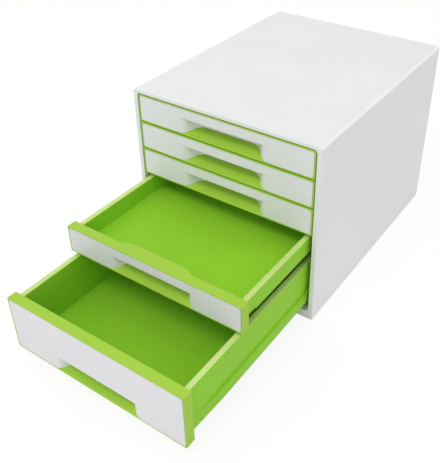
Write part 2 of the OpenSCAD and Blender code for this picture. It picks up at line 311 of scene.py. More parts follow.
def shell(rings, closed=False):
    """Joins each ring to the next one. A closed shell joins the last to the first, another is capped."""
    rings = np.array(rings)
    count, size = rings.shape[:2]
    index = np.arange(count * size).reshape(count, size)
    after = np.roll(index, -1, axis=1)
    following, following_after = np.roll(index, -1, axis=0), np.roll(after, -1, axis=0)
    faces = np.stack([index, after, following_after, following], axis=-1)
    faces = faces if closed else faces[:-1]
    faces = faces.reshape(-1, 4).tolist()
    if not closed:
        faces += [index[0, ::-1].tolist(), index[-1].tolist()]
    return rings.reshape(-1, 3), faces


def sheet(points):
    """An open grid of points, columns first, whose faces look to the front."""
    columns, rows = points.shape[:2]
    index = np.arange(columns * rows).reshape(columns, rows)
    faces = np.stack([index[:-1, :-1], index[1:, :-1], index[1:, 1:], index[:-1, 1:]], axis=-1)
    return points.reshape(-1, 3), faces.reshape(-1, 4).tolist()


def slab(low, high, edge, corner):
    """A block with upright corners of one radius and top and bottom edges of another."""
    half = (np.asarray(high) - np.asarray(low)) / 2
    middle = (np.asarray(high) + np.asarray(low)) / 2
    low_z, high_z = middle[2] - half[2], middle[2] + half[2]
    levels = [(inset, low_z + up) for inset, up in reversed(quarter(edge))]
    levels += [(inset, high_z - down) for inset, down in quarter(edge)]
    rings = []
    for inset, height in levels:
        x, y, r = half[0] - inset, half[1] - inset, corner - inset
        ring = np.concatenate([
            arc((sx * (x - r) + middle[0], sy * (y - r) + middle[1]), r, start, start + 90)
            for sx, sy, start in ((1, -1, -90), (1, 1, 0), (-1, 1, 90), (-1, -1, 180))
        ])
        rings.append(level(ring, height))
    return shell(rings)


def piece(name, shells, material, body, node, outwards=True, second=None):
    """Makes one mesh of some shells, merges their doubles, and stands it for its CAD node.

    A second material may be given with the slice of the faces that it covers.
    """
    points, faces, first = [], [], 0
    for shell_points, shell_faces in shells:
        points.append(shell_points)
        faces += [[first + k for k in face] for face in shell_faces]
        first += len(shell_points)
    mesh = bpy.data.meshes.new(name)
    mesh.from_pydata(np.concatenate(points).tolist(), [], faces)
    mesh.materials.append(material)
    if second:
        mesh.materials.append(second[0])
        finish = np.zeros(len(faces), dtype=np.int32)
        finish[second[1]] = 1
        mesh.polygons.foreach_set("material_index", finish)
    made = bmesh.new()
    made.from_mesh(mesh)
    bmesh.ops.remove_doubles(made, verts=made.verts, dist=MERGE_DISTANCE)
    bmesh.ops.dissolve_degenerate(made, dist=MERGE_DISTANCE, edges=made.edges)
    if outwards:
        bmesh.ops.recalc_face_normals(made, faces=made.faces)
    made.to_mesh(mesh)
    made.free()
    mesh.shade_smooth()
    mesh.set_sharp_from_angle(angle=SHARP_ANGLE)
    made_object = bpy.data.objects.new(name, mesh)
    bpy.context.scene.collection.objects.link(made_object)
    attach(made_object, body)
    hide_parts(node)
    return made_object


def flatten_normals(made_object):
    """Keeps broad faces flat beside their narrow rounded edges."""
    weighted = made_object.modifiers.new("Flat faces", "WEIGHTED_NORMAL")
    weighted.keep_sharp = True
    weighted.weight = BROAD_WEIGHT


# ---- Materials ----

# Scale and detail of the three noises in a plastic, and the values of a noise that span its drift
SHADE_NOISE = (9, 3)
POLISH_NOISE = (140, 4)
GRAIN_NOISE = (2400, 2)
NOISE_SPAN = (0.3, 0.7)

# Darkest and palest share of the colour, drift of the roughness to each side, and height of the grain
DARK_SHARE = 0.965
PALE_SHARE = 1.02
POLISH_DRIFT = 0.05
GRAIN_HEIGHT = 0.00004
PLASTIC_IOR = 1.5


def painted_highlight_share(tree):
    """Share of a painted highlight: twice a normal's sideways part times its upward part, 1 halfway round a
    long top edge and 0 on flats.
    """
    parts = tree.nodes.new("ShaderNodeSeparateXYZ")
    tree.links.new(tree.nodes.new("ShaderNodeNewGeometry").outputs["Normal"], parts.inputs["Vector"])
    sideways, product, share = [tree.nodes.new("ShaderNodeMath") for _ in range(3)]
    sideways.operation = "ABSOLUTE"
    product.operation = share.operation = "MULTIPLY"
    share.use_clamp = True
    share.inputs[1].default_value = 2
    tree.links.new(parts.outputs["X"], sideways.inputs[0])
    tree.links.new(sideways.outputs["Value"], product.inputs[0])
    tree.links.new(parts.outputs["Z"], product.inputs[1])
    tree.links.new(product.outputs["Value"], share.inputs[0])
    return share.outputs["Value"]


def plastic(name, colour, roughness, grain, gloss=0.5, painted_edge_highlight=None):
    """Moulded plastic: a fine grain in its surface, and slow drifts in its colour and its polish.

    Three noises on Object coordinates: a fine one raises the surface by the grain's depth, a slow one
    shades the colour by a few parts in a hundred, and a middle one moves the roughness. Long top edges
    may take a paler colour, a painted highlight that stands in for the light a rounded edge catches.
    """
    material = bpy.data.materials.new(name)
    material.use_nodes = True
    tree = material.node_tree
    shader = tree.nodes["Principled BSDF"]
    place = tree.nodes.new("ShaderNodeTexCoord")

    def noise(kind):
        """A noise of one scale and detail on the piece's Object coordinates."""
        node = tree.nodes.new("ShaderNodeTexNoise")
        node.inputs["Scale"].default_value, node.inputs["Detail"].default_value = kind
        tree.links.new(place.outputs["Object"], node.inputs["Vector"])
        return node.outputs["Fac"]

    def drift(kind, low, high):
        """A noise stretched evenly, so that its span runs from the low value to the high one."""
        node = tree.nodes.new("ShaderNodeMapRange")
        node.inputs["From Min"].default_value, node.inputs["From Max"].default_value = NOISE_SPAN
        node.inputs["To Min"].default_value = low
        node.inputs["To Max"].default_value = high
        tree.links.new(noise(kind), node.inputs["Value"])
        return node.outputs["Result"]

    def blend():
        """A node that mixes two colours by a share."""
        node = tree.nodes.new("ShaderNodeMix")
        node.data_type = "RGBA"
        return node

    shade = blend()
    shade.inputs["A"].default_value = (*[DARK_SHARE * c for c in colour], 1)
    shade.inputs["B"].default_value = (*[min(1, PALE_SHARE * c) for c in colour], 1)
    tree.links.new(drift(SHADE_NOISE, 0, 1), shade.inputs["Factor"])
    result = shade.outputs["Result"]
    # painted highlight: the long top edges are mixed towards a paler colour where a rounded edge would
    # catch the light
    if painted_edge_highlight is not None:
        edges = blend()
        edges.inputs["B"].default_value = (*painted_edge_highlight, 1)
        tree.links.new(painted_highlight_share(tree), edges.inputs["Factor"])
        tree.links.new(result, edges.inputs["A"])
        result = edges.outputs["Result"]
    tree.links.new(result, shader.inputs["Base Color"])
    polish = drift(POLISH_NOISE, roughness - POLISH_DRIFT, roughness + POLISH_DRIFT)
    tree.links.new(polish, shader.inputs["Roughness"])
    bump = tree.nodes.new("ShaderNodeBump")
    bump.inputs["Strength"].default_value = grain
    bump.inputs["Distance"].default_value = GRAIN_HEIGHT
    tree.links.new(noise(GRAIN_NOISE), bump.inputs["Height"])
    tree.links.new(bump.outputs["Normal"], shader.inputs["Normal"])
    shader.inputs["IOR"].default_value = PLASTIC_IOR
    shader.inputs["Specular IOR Level"].default_value = gloss
    return material


def casing_white(sizes):
    """Satin white of the casing, with a faint grain and a painted highlight on its long top edges."""
    return plastic("casing_white", sizes.casing_colour, roughness=0.36, grain=0.12, gloss=0.4,
                   painted_edge_highlight=sizes.painted_edge_highlight)


def panel_white(sizes):
    """The rear panel's white, duller and coarser than the casing's."""
    return plastic("panel_white", sizes.casing_colour, roughness=0.5, grain=0.5)


def runner_grey(sizes):
    """Dull grey of the runner frames."""
    return plastic("runner_grey", sizes.runner_colour, roughness=0.5, grain=0.4)


def foot_rubber(sizes):
    """Rough dark rubber of the feet."""
    return plastic("foot_rubber", sizes.foot_colour, roughness=0.75, grain=1.0)


def front_green(sizes):
    """Matt green of the front frames, with a fine grain."""
    return plastic("drawer_green", sizes.green, roughness=0.42, grain=0.35, gloss=0.1)


def plate_white(sizes):
    """Satin white of the front plates."""
    return plastic("plate_white", sizes.plate_colour, roughness=0.36, grain=0.15, gloss=0.4)


def tray_green(sizes):
    """Smooth matt green of the trays."""
    return plastic("tray_green", sizes.tray_green, roughness=0.36, grain=0.1, gloss=0.06)


def rim_green_painted_sheen(sizes):
    """Polished green of the trays' rims, paler than the trays' own green as a painted sheen that stands in
    for their reflection.
    """
    return plastic("rim_green_painted_sheen", sizes.rim_green_painted_sheen, roughness=0.28, grain=0.05, gloss=0.4)


# ---- Cabinet ----

# Small radii of the casing and the panel, the feet's diameter and the steps round a foot
LEAST_CASING_RADIUS = 0.0003
BACK_EDGE_RADIUS = 0.0005
INSIDE_CORNER_RADIUS = 0.0008
FOOT_DIAMETER = 0.016
FOOT_STEPS = 48


class CABINET_OT_casing(bpy.types.Operator):
    """Makes the casing with its front rim and the opening for the drawers"""

    bl_idname = "cabinet.casing"
    bl_label = "Make the casing"

    def execute(self, context):
        sizes, drawers = context.scene.cabinet_casing, context.scene.cabinet_drawers
        half_w, low, high = CASING_HIGH[0], CASING_LOW[2], CASING_HIGH[2]
        front, back = CASING_LOW[1], CASING_HIGH[1]
        opening_w = FRONT_HALF_W + sizes.opening_gap
        opening_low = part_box(f"front_frame_{DEEP_DRAWER}")[0][2] - sizes.opening_gap
        opening_high = SHALLOW_HIGH[2] + sizes.opening_gap
        inner_low, inner_high = low + half_w - INNER_HALF_W, high - half_w + INNER_HALF_W
        middle = drawers.mouth_half_width

        def outer(inset):
            """The casing's outline, moved inwards."""
            return front_ring(half_w - inset, low + inset, high - inset,
                              max(sizes.top_edge_radius - inset, LEAST_CASING_RADIUS),
                              max(sizes.bottom_edge_radius - inset, LEAST_CASING_RADIUS), middle, middle)

        def opening(grow):
            """The opening around the fronts, moved outwards."""
            radius = sizes.opening_corner_radius + grow
            return front_ring(opening_w + grow, opening_low - grow, opening_high + grow,
                              radius, radius, middle, middle)

        def inner(grow):
            """The casing's inside behind the rim, moved outwards."""
            return front_ring(INNER_HALF_W + grow, inner_low - grow, inner_high + grow,
                              INSIDE_CORNER_RADIUS, INSIDE_CORNER_RADIUS, middle, middle)

        rings = [upright(outer(inset), back - depth)
                 for inset, depth in reversed(quarter(BACK_EDGE_RADIUS))]
        rings += [upright(outer(inset), front + depth)
                  for inset, depth in quarter(sizes.front_edge_radius)]
        rings += [upright(opening(inset), front + depth)
                  for inset, depth in reversed(quarter(sizes.opening_edge_radius))]
        # behind the rim the inside widens, and at the back it has a step that the panel lies in
        rim_back = front + sizes.rim_depth
        step = PANEL_HIGH[0] - INNER_HALF_W + drawers.plate_gap
        rings += [upright(opening(0), rim_back), upright(inner(0), rim_back)]
        rings += [upright(inner(0), PANEL_LOW[1]), upright(inner(step), PANEL_LOW[1])]
        rings += [upright(inner(step), back)]
        made = piece("casing_shell", [shell(rings, closed=True)], casing_white(sizes), "cabinet",
                     "casing")
        flatten_normals(made)
        return {"FINISHED"}


class CABINET_OT_rear_panel(bpy.types.Operator):
    """Makes the panel that closes the casing behind"""

    bl_idname = "cabinet.rear_panel"
    bl_label = "Make the rear panel"

    def execute(self, context):
        sizes = context.scene.cabinet_casing
        edge, middle = sizes.panel_edge_radius, INNER_HALF_W / 2
        levels = [(inset, PANEL_LOW[1] + depth) for inset, depth in reversed(quarter(edge))]
        levels += [(inset, PANEL_HIGH[1] - depth) for inset, depth in quarter(edge)]
        rings = []
        for edge_inset, place in levels:
            inset = edge_inset + sizes.panel_relief
            ring = front_ring(PANEL_HIGH[0] - inset, PANEL_LOW[2] + inset, PANEL_HIGH[2] - inset,
                              INSIDE_CORNER_RADIUS, INSIDE_CORNER_RADIUS, middle, middle)
            rings.append(upright(ring, place))
        made = piece("rear_cover", [shell(rings)], panel_white(sizes), "cabinet",
                     "rear_panel")
        flatten_normals(made)
        return {"FINISHED"}


class CABINET_OT_runners(bpy.types.Operator):
    """Gives the two runner frames their plastic"""

    bl_idname = "cabinet.runners"
    bl_label = "Finish the runner frames"

    def execute(self, context):
        grey = runner_grey(context.scene.cabinet_casing)
        for node in ("left_runner_frame", "right_runner_frame"):
            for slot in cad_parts[node].material_slots:
                slot.material = grey
        return {"FINISHED"}


class CABINET_OT_feet(bpy.types.Operator):
    """Makes the four feet, round pads with a rounded lower edge"""

    bl_idname = "cabinet.feet"
    bl_label = "Make the feet"

    def execute(self, context):
        sizes = context.scene.cabinet_casing
        low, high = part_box("feet")
        radius = FOOT_DIAMETER / 2
        shells = []
        for x in (low[0] + radius, high[0] - radius):
            for y in (low[1] + radius, high[1] - radius):
                rings = [level(arc((x, y), radius - inset, 0, 360, FOOT_STEPS)[:-1], low[2] + up)
                         for inset, up in reversed(quarter(sizes.foot_edge_radius))]
                rings.append(level(arc((x, y), radius, 0, 360, FOOT_STEPS)[:-1], high[2]))
                shells.append(shell(rings))
        piece("foot_pads", shells, foot_rubber(sizes), "cabinet", "feet")
        return {"FINISHED"}


# ---- Handle pocket, the same in every front ----

# Distances of the green pocket outside the plate's flanks and behind the plate's back wall
POCKET_SIDE = 0.0014
POCKET_BACK = 0.00065
# Wall, blend, half width and lower edge of the shell that holds the pocket behind a front
SHELL_WALL = 0.0015
SHELL_BLEND = 0.004
SHELL_HALF_W = 0.06
SHELL_LOW = 0.0065
# Wall of a front round its recess, radius under the pocket's top, and height of the edge at the ramp's lip
FRONT_WALL = 0.002
POCKET_TOP_RADIUS = 0.0006
LIP_EDGE = 0.0002
# Steps round the pocket's back corners, and samples along the shell's outline in plan
TURN_STEPS = 8
OUTLINE_SAMPLES = 400


def ramp_height(sizes, depth):
    """Height of the pocket's floor, which rises evenly from the sill to the tray's floor."""
    slope = (sizes.floor_height - sizes.sill_height) / sizes.pocket_depth
    return sizes.sill_height + slope * np.minimum(depth, sizes.pocket_depth)


def corner_centre(sizes, mouth, radius):
    """X and depth of the centre of the arc that joins a flank to the pocket's back.

    The depth may be negative. The centre lies one radius away from the flank's line, which starts at
    the mouth on the face.
    """
    depth = sizes.pocket_depth - sizes.pocket_radius
    return mouth - (radius + depth * math.sin(sizes.flank_angle)) / math.cos(sizes.flank_angle), depth


def pocket_half_width(sizes, depth, outwards=0.0, behind=0.0):
    """Half width of the pocket at a depth: a straight flank that an arc joins to the flat back.

    The flank is moved outwards and the back behind by the two distances.
    """
    radius = sizes.pocket_radius + behind
    mouth = sizes.mouth_half_width + outwards / math.cos(sizes.flank_angle)
    arc_x, arc_depth = corner_centre(sizes, mouth, radius)
    turn = arc_depth + radius * math.sin(sizes.flank_angle)
    past = np.clip(depth - arc_depth, 0, radius)
    straight = mouth - math.tan(sizes.flank_angle) * depth
    return np.where(depth < turn, straight, arc_x + np.sqrt(radius ** 2 - past ** 2))


def bulge_depth(sizes, x):
    """Depth of the back of a front across its width: flat, with the pocket's shell standing out.

    The shell's outline in plan is the inverse of pocket_half_width. Where it comes within a blend's
    length of the flat, a parabola joins the two.
    """
    depth = np.linspace(0, sizes.pocket_depth + SHELL_WALL, OUTLINE_SAMPLES)
    width = pocket_half_width(sizes, depth, POCKET_SIDE + SHELL_WALL, SHELL_WALL)
    out = np.interp(-np.abs(x), -width, depth) - sizes.front_depth
    joined = np.maximum(out, 0) + np.maximum(SHELL_BLEND - np.abs(out), 0) ** 2 / (4 * SHELL_BLEND)
    return sizes.front_depth + joined


# ---- Drawer fronts ----

LEAST_FRONT_RADIUS = 0.0002
# Depth of the ramp's lip as a share of the recess's, where the recess's edge and where its wall end
LIP_AT_EDGE = 0.15
LIP_AT_WALL = 0.6


class CABINET_OT_front_frames(bpy.types.Operator):
    """Makes the five coloured fronts, each with its recess, handle pocket and the pocket's shell behind"""

    bl_idname = "cabinet.front_frames"
    bl_label = "Make the front frames"

    def execute(self, context):
        sizes, casing = context.scene.cabinet_drawers, context.scene.cabinet_casing
        green = front_green(sizes)
        round_corner = casing.opening_corner_radius - casing.opening_gap
        for drawer in DRAWERS:
            low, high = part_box(f"front_frame_{drawer}")
            deep = drawer == DEEP_DRAWER
            top_radius = round_corner if drawer == DRAWERS[0] else sizes.front_corner_radius
            bottom_radius = round_corner if deep else sizes.front_corner_radius
            rings = front_frame_rings(sizes, high[2] - low[2], top_radius, bottom_radius, deep)
            rings = np.array(rings) + np.array([0, low[1], low[2]])
            made = piece(f"front_{drawer}", [shell(rings)], green, f"drawer_{drawer}",
                         f"front_frame_{drawer}")
            flatten_normals(made)
        return {"FINISHED"}


def front_frame_rings(sizes, height, top_radius, bottom_radius, deep):
    """Rings of a front frame, from the underside of the pocket's shell over the back, the sides and the
    border into the recess, and through the mouth to the pocket's back.

    Y is the depth behind the front's face and Z the height above its lower edge. On the lower side, the
    stretch in the middle runs up the pocket's ramp where the rest goes down into the recess. Behind a
    deep front the pocket's shell has a top of its own, and behind the others it ends at the front's top.
    """
    border, edge = sizes.border_width, sizes.front_edge_radius
    turn = math.pi / 2 - sizes.flank_angle
    ramp_half_w = sizes.mouth_half_width + sizes.fold_radius * math.tan(turn / 2) + POCKET_SIDE / 2

    def outline(edge_inset):
        """The front's outline, moved inwards by the inset and the seam relief."""
        inset = edge_inset + sizes.seam_relief
        return front_ring(FRONT_HALF_W - inset, inset, height - inset,
                          max(top_radius - inset, LEAST_FRONT_RADIUS),
                          max(bottom_radius - inset, LEAST_FRONT_RADIUS), ramp_half_w, SHELL_HALF_W)

    def recess(grow):
        """The outline of the plate's recess, moved outwards."""
        radius = sizes.plate_corner_radius + sizes.plate_gap + grow
        return front_ring(FRONT_HALF_W - border + grow, border - grow, height - border + grow,
                          radius, radius, ramp_half_w, SHELL_HALF_W)

    def base(top):
        """The sharp rectangle behind the front that the pocket's shell covers, up to a top."""
        return front_ring(SHELL_HALF_W, SHELL_LOW, top, 0, 0, SHELL_HALF_W, SHELL_HALF_W)

    def bulged(ring, depth=sizes.front_depth):
        """Stands a ring up at a depth, its upper middle stretch further back by the shell's bulge."""
        depths = np.full(len(ring), depth)
        depths[TOP_MID] = bulge_depth(sizes, ring[TOP_MID, 0]) - (sizes.front_depth - depth)
        return upright(ring, depths)

    shell_top = min(SHALLOW_H, height - edge - sizes.seam_relief)
    rings = [bulged(base(SHELL_LOW)), bulged(base(shell_top))]
    if deep:
        rings.append(upright(base(shell_top), sizes.front_depth))
    for inset, depth in reversed(quarter(edge)):
        ring = outline(inset)
        rings.append(upright(ring, sizes.front_depth - depth) if deep
                     else bulged(ring, sizes.front_depth - depth))
    rings += [upright(outline(inset), depth) for inset, depth in quarter(edge)]
    # the recess, and the ramp's lip in the middle of its lower side
    recess_edge = border / 8
    steps = [
        (recess(recess_edge), 0, 0),
        (recess(0), recess_edge, LIP_AT_EDGE),
        (recess(0), sizes.plate_depth, LIP_AT_WALL),
        (pocket_ring(sizes, sizes.plate_depth), sizes.plate_depth, 1),
    ]
    for ring, depth, share in steps:
        made = upright(ring, depth)
        lip = sizes.plate_depth * share
        made[MID, 1] = lip
        made[MID, 2] = ramp_height(sizes, lip) - (LIP_EDGE if share == 0 else 0)
        rings.append(made)
    # through the mouth into the pocket
    behind_lip = sizes.plate_depth + FRONT_WALL
    pocket_top = SHALLOW_H - FRONT_WALL
    rings.append(upright(pocket_ring(sizes, behind_lip), behind_lip))
    angle = np.linspace(sizes.flank_angle, math.pi / 2, TURN_STEPS + 1)
    curve = sizes.pocket_depth - sizes.pocket_radius + (sizes.pocket_radius + POCKET_BACK) * np.sin(angle)
    depths = [behind_lip, (behind_lip + curve[0]) / 2, *curve]
    rings += [upright(pocket_ring(sizes, depth, pocket_top), depth) for depth in depths]
    return rings


def pocket_ring(sizes, depth, top=None):
    """The green pocket's outline at a depth, up to the mouth's upper edge or to a top of its own."""
    half_w = float(pocket_half_width(sizes, depth, POCKET_SIDE, POCKET_BACK))
    high = sizes.mouth_height if top is None else top
    return front_ring(half_w, float(ramp_height(sizes, depth)), high,
                      POCKET_TOP_RADIUS, 0, half_w, half_w / 2)


# ---- Front plates ----

# How far the pocket's wall runs up behind the mouth's upper edge
LIP_OVERLAP = 0.0003

# Thickness of a plate at some depths: full on the face, thin where it passes the recess's edge
WALL_DEPTHS = (0, 0.0003, 0.0013, 0.0025, 0.005, 0.012, 0.0182)
WALL_THICKNESS = (0.002, 0.00175, 0.0005, 0.0006, 0.001, 0.001, 0.0005)
THINNEST_SHARE = 0.25

# Steps along a flank: the fold from the face, the slope and the hollow to the back
FOLD_STEPS = 12
SLOPE_STEPS = 4
HOLLOW_STEPS = 9

# Points across a plate beside the mouth and over it, and up a plate above the mouth and beside it
COLUMNS_BESIDE = 8
COLUMNS_OVER = 16
ROWS_ABOVE = 8
ROWS_BESIDE = 10

# Spacing of points towards a corner, how far beside it the columns are drawn in, and the power by which
# they crowd towards the side there
CORNER_SPACING = np.array([0, 0.05, 0.15, 0.3, 0.5, 0.75, 1])
CORNER_REACH = 0.008
CORNER_CROWDING = 1.5

# Stretch beside the fold over which a plate's lower edge comes down from the ramp
SILL_BLEND = 0.003

# Faces round a plate's rounded edges, which are those that turn by more than this angle
PLATE_EDGE_STEPS = 3
PLATE_EDGE_ANGLE = math.radians(50)


def flank_path(sizes):
    """Plan of a plate's right flank, from the face inwards: X and depth.

    It is an arc that leaves the face, a straight slope, and an arc that meets the pocket's back.
    """
    turn = math.pi / 2 - sizes.flank_angle
    start = sizes.mouth_half_width + sizes.fold_radius * math.tan(turn / 2)
    angle = np.linspace(0, turn, FOLD_STEPS + 1)
    fold = np.stack([start - sizes.fold_radius * np.sin(angle),
                     sizes.fold_radius * (1 - np.cos(angle))], axis=1)
    angle = np.linspace(sizes.flank_angle, math.pi / 2, HOLLOW_STEPS + 1)
    arc_x, arc_depth = corner_centre(sizes, sizes.mouth_half_width, sizes.pocket_radius)
    hollow = np.stack([arc_x + sizes.pocket_radius * np.cos(angle),
                       arc_depth + sizes.pocket_radius * np.sin(angle)], axis=1)
    return np.concatenate([fold[:-1], line(fold[-1], hollow[0], SLOPE_STEPS)[:-1], hollow])


def plate_sheets(sizes, height):
    """The plate's face above the mouth, and the face beside the mouth that runs on round the pocket.

    Columns run across and rows up. Near a corner, the columns are drawn in along the corner's arc.
    """
    inset = sizes.border_width + sizes.plate_gap
    half_w, low, high = FRONT_HALF_W - inset, inset, height - inset
    radius, mouth = sizes.plate_corner_radius, sizes.mouth_height
    path = flank_path(sizes)
    fold_x = path[0, 0]
    beside = np.concatenate([half_w - CORNER_REACH * CORNER_SPACING ** CORNER_CROWDING,
                             np.linspace(half_w - CORNER_REACH, fold_x, COLUMNS_BESIDE)[1:]])

    def grid(x, depth, bottom, top, rises):
        """Points in columns at X and a depth, which rise from the bottom to the top by the shares given.

        Where a height lies some way into a corner, the side moves in by the radius less the root of the
        radius squared less that way squared. The columns near the side follow it in part.
        """
        z = bottom[:, None] + (top - bottom)[:, None] * rises[None, :]
        x, depth = np.broadcast_to(x[:, None], z.shape), np.broadcast_to(depth[:, None], z.shape)
        to_edge = np.clip(radius - np.minimum(z - low, high - z), 0, radius)
        drawn_in = radius - np.sqrt(radius ** 2 - to_edge ** 2)
        share = np.clip(1 - (half_w - np.abs(x)) / CORNER_REACH, 0, 1)
        return np.stack([x - np.sign(x) * drawn_in * share, depth, z], axis=-1)

    corner = radius * CORNER_SPACING / (high - mouth)
    rises = np.concatenate([np.linspace(0, 1 - corner[-1], ROWS_ABOVE)[:-1], 1 - corner[::-1]])
    across = np.concatenate([-beside, np.linspace(-fold_x, fold_x, COLUMNS_OVER)[1:-1], beside[::-1]])
    flat = np.zeros(len(across))
    upper = grid(across, flat, flat + mouth, flat + high, rises)

    corner = radius * CORNER_SPACING / (mouth - low)
    rises = np.concatenate([corner, np.linspace(corner[-1], 1, ROWS_BESIDE)[1:]])
    side_x = np.concatenate([beside, path[1:, 0]])
    back_x = np.linspace(-path[-1, 0], path[-1, 0], COLUMNS_OVER)[1:-1]
    x = np.concatenate([-side_x, back_x, side_x[::-1]])
    depth = np.interp(-np.abs(x), -side_x, np.concatenate([np.zeros(len(beside)), path[1:, 1]]))
    on_face = np.clip((np.abs(x) - fold_x) / SILL_BLEND, 0, 1)
    bottom = low * on_face + (ramp_height(sizes, depth) + sizes.plate_gap) * (1 - on_face)
    top = mouth + np.where(np.abs(x) < fold_x - TINY, LIP_OVERLAP, 0)
    return [upper, grid(x, depth, bottom, top, rises)]


class CABINET_OT_front_plates(bpy.types.Operator):
    """Makes the five plates, each a sheet with flanks that turn into the handle pocket"""

    bl_idname = "cabinet.front_plates"
    bl_label = "Make the front plates"

    def execute(self, context):
        sizes = context.scene.cabinet_drawers
        white = plate_white(sizes)
        for drawer in DRAWERS:
            low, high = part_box(f"front_frame_{drawer}")
            place = np.array([0, low[1], low[2]])
            sheets = [sheet(points + place) for points in plate_sheets(sizes, high[2] - low[2])]
            made = piece(f"plate_{drawer}", sheets, white, f"drawer_{drawer}",
                         f"front_plate_{drawer}", outwards=False)
            thicken_plate(made, low[1])
            round_plate_edges(made, sizes.plate_edge_radius)
        return {"FINISHED"}


def thicken_plate(made, face):
    """Gives a plate its wall behind the sheet, as thick as WALL_THICKNESS says at a point's depth."""
    wall = made.vertex_groups.new(name="wall")
    coordinates = np.empty(len(made.data.vertices) * 3)
    made.data.vertices.foreach_get("co", coordinates)
    depths = np.round(coordinates[1::3] - face, 5)
    for depth in np.unique(depths):
        share = np.interp(depth, WALL_DEPTHS, WALL_THICKNESS) / WALL_THICKNESS[0]
        weight = (share - THINNEST_SHARE) / (1 - THINNEST_SHARE)
        wall.add(np.flatnonzero(depths == depth).tolist(), weight, "REPLACE")
    thick = made.modifiers.new("Thickness", "SOLIDIFY")
    thick.thickness = WALL_THICKNESS[0]
    thick.offset = -1
    thick.vertex_group = "wall"
    thick.thickness_vertex_group = THINNEST_SHARE
    thick.use_even_offset = False


def round_plate_edges(made, radius):
    """Rounds a plate's sharp edges."""
    rounded = made.modifiers.new("Rounded edges", "BEVEL")
    rounded.width = radius
    rounded.segments = PLATE_EDGE_STEPS
    rounded.limit_method = "ANGLE"
    rounded.angle_limit = PLATE_EDGE_ANGLE
    rounded.use_clamp_overlap = False
    rounded.harden_normals = True


# ---- Trays ----

# Steps along a stretch of a tray's outline, along its cut, and samples across the cut
TRAY_SIDE_STEPS = 8
TRAY_CUT_STEPS = 48
CUT_SAMPLES = 600
# Width of the stretch on each side of the cut
CUT_SIDE = 0.004

# Inset of a tray from the fronts' sides, and the strips between the rings that make up a rim's top
TRAY_INSET = 0.0045
RIM_STRIPS = (7, 12)
RIM_THICKNESS = 0.0025
RIM_INNER_EDGE = 0.0008
RIM_OUTER_EDGE = 0.0009
FLOOR_FILLET = 0.002

# Corner radii in front and behind, outside, and of the hollow under the rim
INSIDE_FRONT_RADIUS = 0.001
INSIDE_LEAST_RADIUS = 0.0003
OUTSIDE_RADII = (0.0012, 0.002)
OUTSIDE_LEAST_RADIUS = 0.0002
HOLLOW_RADII = (0.0004, 0.0006)

# The notch in the sides behind a shallow front, and the height of the rim's outside at the back
NOTCH_LENGTH = 0.02
NOTCH_HEIGHT = 0.0025
REAR_SKIRT = 0.012

# The band along the deep tray's foot, which tapers off towards the front, and the groove over it
BAND_OUT = 0.002
BAND_HEIGHT = 0.016
BAND_TAPER = 0.06
BAND_EDGE = 0.0006
GROOVE_HEIGHT = 0.007
GROOVE_DEPTH = 0.001

# The lugs at the back of the sides, which meet the stops, and the fine ridge across the deep tray's floor
LUG_LENGTH = 0.01
LUG_RISE = 0.0025
LUG_HEIGHT = 0.014
LUG_RADII = (0.0004, 0.0006)
RIDGE_Y = 0.104
RIDGE_WIDTH = 0.0014
RIDGE_HEIGHT = 0.0008
RIDGE_GAP = 0.0002
RIDGE_RADII = (0.0003, 0.0005)


def plan_ring(half_w, front, back, front_radius, back_radius, stations, cut_x, shelf_x):
    """A tray's outline seen from above and run through anticlockwise, from the left front corner.

    The front has a stretch of its own from -cut_x to cut_x, each side has stretches that end at the
    stations, and the back has one between -shelf_x and shelf_x. Stretches that a ring is too small for
    shrink to a point. Returns the points, and for each the name of its stretch.
    """
    right, shelf = half_w - front_radius, min(shelf_x, half_w - back_radius)
    near = cut_x + CUT_SIDE
    ends = [max(front + front_radius, station) for station in stations]
    ends = [front + front_radius, *ends, back - back_radius]
    side = [(f"side {k}", line((half_w, ends[k]), (half_w, ends[k + 1]), TRAY_SIDE_STEPS))
            for k in range(len(ends) - 1)]
    corner_x = half_w - back_radius
    parts = [
        ("front", line((-right, front), (-near, front), TRAY_SIDE_STEPS)),
        ("beside the cut", line((-near, front), (-cut_x, front), TRAY_SIDE_STEPS)),
        ("cut", line((-cut_x, front), (cut_x, front), TRAY_CUT_STEPS)),
        ("beside the cut", line((cut_x, front), (near, front), TRAY_SIDE_STEPS)),
        ("front", line((near, front), (right, front), TRAY_SIDE_STEPS)),
        ("front corner", arc((right, front + front_radius), front_radius, -90, 0)),
        *side,
        ("back corner", arc((corner_x, back - back_radius), back_radius, 0, 90)),
        ("beside the back", line((corner_x, back), (shelf, back), TRAY_SIDE_STEPS)),
        ("back", line((shelf, back), (-shelf, back), TRAY_SIDE_STEPS)),
        ("beside the back", line((-shelf, back), (-corner_x, back), TRAY_SIDE_STEPS)),
        ("back corner", arc((-corner_x, back - back_radius), back_radius, 90, 180)),
        *[(name, part[::-1] * (-1, 1)) for name, part in side[::-1]],
        ("front corner", arc((-right, front + front_radius), front_radius, 180, 270)),
    ]
    names = np.concatenate([np.full(len(part), name, dtype="<U16") for name, part in parts])
    return np.concatenate([part for _, part in parts]), names


